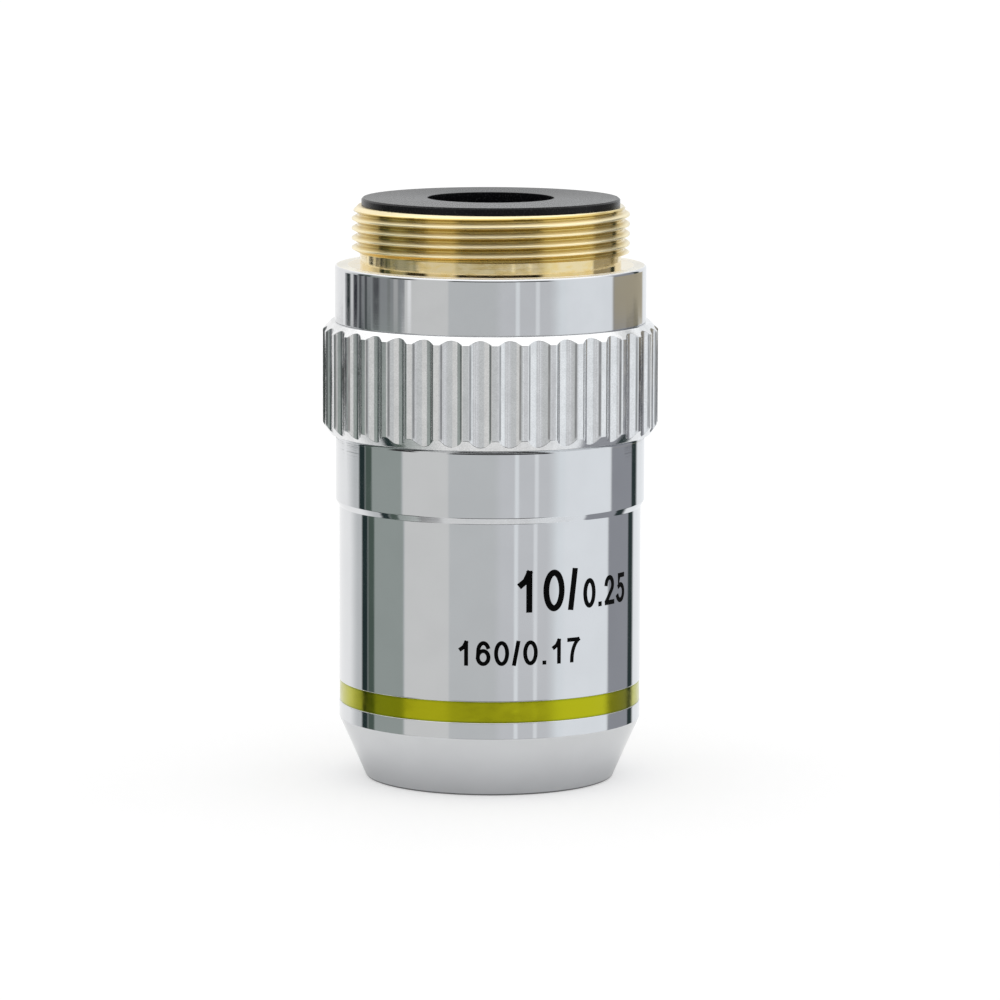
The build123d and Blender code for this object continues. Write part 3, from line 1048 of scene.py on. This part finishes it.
studio = {
    "room": (0.63, 0.645, 0.65),    # what the plating shows where no card stands
    "above": 1.45,
    "aboveOver": (15, 50),          # elevations over which the room changes to its ceiling
    "below": 0.75,
    "belowOver": (-75, -62),
    "walls": [
        # from and to in degrees round from the camera, positive to the right, the soft edge, the colour
        (-181, -128, 9, (1.0, 1.0, 1.0)),
        (-115, -107, 1.5, (0.022, 0.038, 0.038)),
        (-107, -98, 1.5, (0.085, 0.117, 0.10)),
        (-99, -69, 1.5, (0.36, 0.40, 0.38)),
        (-68, -31, 1, (0.75, 0.75, 0.74)),
        (6, 49, 4, (0.69, 0.70, 0.72)),
        (18.5, 21.5, 0.8, (0.90, 0.93, 0.95)),
        (33.5, 36.5, 0.8, (0.88, 0.90, 0.92)),
        (49, 64, 6, (0.90, 0.94, 0.97)),
        (58, 103, 3, (0.94, 0.97, 1.0)),
        (103, 134, 1.5, (0.33, 0.34, 0.37)),
        (132, 148, 1.5, (0.03, 0.045, 0.045)),
        (142, 181, 3, (0.96, 0.98, 1.0)),
    ],
    "cards": [
        # lowest and highest elevation, then cards like the walls: these show in the collar and the neck
        (-6.05, -4.4, [
            (-136, -66, 1, (0.30, 0.31, 0.32)),
            (-132.5, -127.5, 1, (0.01, 0.02, 0.02)),
            (-126, -122, 1, (0.80, 0.80, 0.80)),
            (-121, -116, 1, (0.04, 0.04, 0.05)),
            (-113.5, -110.5, 1, (0.11, 0.11, 0.12)),
            (-106.5, -103.5, 1, (0.09, 0.09, 0.10)),
            (-97, -90, 2, (0.08, 0.08, 0.09)),
            (-82, -79, 1, (0.24, 0.25, 0.25)),
            (-76, -72, 1, (0.50, 0.50, 0.50)),
            (-63.5, -60.5, 1, (1.05, 1.05, 1.05)),
            (103, 152, 3, (0.46, 0.41, 0.30)),
        ]),
        # these in the milled ring
        (-6.95, -6.15, [
            (-181, -116, 2, (0.03, 0.03, 0.03)),
            (-141, -135, 1, (1.1, 1.1, 1.1)),
            (120, 134, 2, (0.05, 0.05, 0.06)),
            (152, 181, 2, (0.30, 0.31, 0.33)),
        ]),
        # and these only in the cut thread
        (-62, -13.5, [
            (-30, 46, 4, (0.02, 0.02, 0.02)),
            (-80, -58, 4, (0.04, 0.04, 0.04)),
        ]),
        (-2, 20, [
            (-30, 46, 4, (0.01, 0.01, 0.01)),
            (-80, -58, 4, (0.03, 0.03, 0.03)),
        ]),
    ],
    "cardSoftness": 0.08,
}


def buildWorld():
    world = bpy.data.worlds.new("studio")
    bpy.context.scene.world = world
    world.use_nodes = True
    world.node_tree.nodes.clear()
    start = Socket(world.node_tree)
    direction = start.add("ShaderNodeTexCoord")
    x, y, z = start.add("ShaderNodeSeparateXYZ", values={0: direction}).parts()
    azimuth = start.math("ARCTAN2", x, -y) * (180 / pi)
    elevation = start.math("ARCSINE", z) * (180 / pi)
    colour = tone(studio["room"])
    for low, high, soft, shade in studio["walls"]:
        colour = azimuth.band(low, high, soft).blend(colour, tone(shade))
    colour = elevation.rise(*studio["aboveOver"]).blend(colour, tone(white, studio["above"]))
    colour = elevation.rise(*studio["belowOver"], 1.0, 0.0).blend(colour, tone(white, studio["below"]))
    for bottom, top, cards in studio["cards"]:
        for low, high, soft, shade in cards:
            share = azimuth.band(low, high, soft) * elevation.band(bottom, top, studio["cardSoftness"])
            colour = share.blend(colour, tone(shade))
    # the camera and the soft light see a plain white room
    glossy = start.add("ShaderNodeLightPath", output="Is Glossy Ray")
    through = start.add("ShaderNodeLightPath", output="Is Transmission Ray")
    colour = start.math("MAXIMUM", glossy, through).blend(tone(white), colour)
    shader = start.add("ShaderNodeBackground", values={"Color": colour, "Strength": 1.0})
    start.add("ShaderNodeOutputWorld", values={"Surface": shader})


floor = {
    "rings": (0.0, 15.0, 30.0, 60.0, 150.0, 500.0, 1300.0),
    "columns": 96,
    "drop": 0.02,                   # keeps the floor off the flat of the nose
    "paper": (0.70, 0.71),
    "grainSize": 0.05,
    "seenGlow": 0.34,
    "brightensOver": (9.1, 13.6),   # mirrored in the cone, a painted glow makes it brighter further out
    "mirroredGlow": (0.06, 0.24),
    "contactShadow": (8.95, 9.2),         # and a painted contact shadow where the rim of the nose meets it
    "clearsOver": (18.0, 26.0),     # further out it isn't mirrored in the plating
}


def buildFloor():
    # round white floor that keeps the object's shadow
    rings = np.array(floor["rings"])[:, None]
    turn = np.linspace(0, 2 * pi, floor["columns"], endpoint=False)
    grid = np.stack([rings * np.cos(turn), rings * np.sin(turn), 0 * rings * turn - floor["drop"]], 2)
    mesh = bpy.data.meshes.new("floor")
    faces = gridFaces(*grid.shape[:2], False, True)
    mesh.from_pydata((grid.reshape(-1, 3) * mm).tolist(), [], faces.tolist())
    piece = bpy.data.objects.new("floor", mesh)
    bpy.context.scene.collection.objects.link(piece)
    material, start = emptyMaterial("paleFloor")
    x, y, z, r = places(start)
    seen = start.add("ShaderNodeLightPath", output="Is Camera Ray")
    glossy = start.add("ShaderNodeLightPath", output="Is Glossy Ray")
    grain = noise(start, x * floor["grainSize"], y * floor["grainSize"], 0.0, 2.0)
    paper = grain.rise(*spread).blend(*(tone(white, share) for share in floor["paper"]))
    # painted contact shadow under the rim of the nose, seen by glossy rays
    paper = (glossy * r.rise(*floor["contactShadow"], 1.0, 0.0)).blend(paper, tone(white, 0.0))
    matt = start.add("ShaderNodeBsdfDiffuse", values={"Color": paper})
    # an even glow for the camera; for glossy rays a painted glow that grows away from the nose
    strength = seen * floor["seenGlow"] + glossy * r.rise(*floor["brightensOver"], *floor["mirroredGlow"])
    glow = start.add("ShaderNodeEmission", values={"Color": tone(white), "Strength": strength})
    lit = start.add("ShaderNodeAddShader", values={0: matt, 1: glow})
    clear = start.add("ShaderNodeBsdfTransparent")
    far = glossy * r.rise(*floor["clearsOver"])
    shader = start.add("ShaderNodeMixShader", values={0: far, 1: lit, 2: clear})
    start.add("ShaderNodeOutputMaterial", values={"Surface": shader})
    mesh.materials.append(material)


buildWorld()
buildFloor()
print("studio ready")


# camera

camera = {
    "lens": 211.7,
    "sensor": 36.0,
    "clip": (0.01, 10.0),
    "place": (0.73, -425.6, 77.87),
    "pitch": 82.29,
    "roll": 0.175,
}
view = bpy.data.objects.new("camera", bpy.data.cameras.new("camera"))
bpy.context.scene.collection.objects.link(view)
bpy.context.scene.camera = view
view.data.lens = camera["lens"]
view.data.sensor_width = camera["sensor"]
view.data.clip_start, view.data.clip_end = camera["clip"]
place = Matrix.Translation([value * mm for value in camera["place"]])
tilt = Matrix.Rotation(radians(camera["pitch"]), 4, "X")
view.matrix_world = place @ tilt @ Matrix.Rotation(radians(camera["roll"]), 4, "Z")

bpy.context.scene.view_settings.view_transform = "Standard"
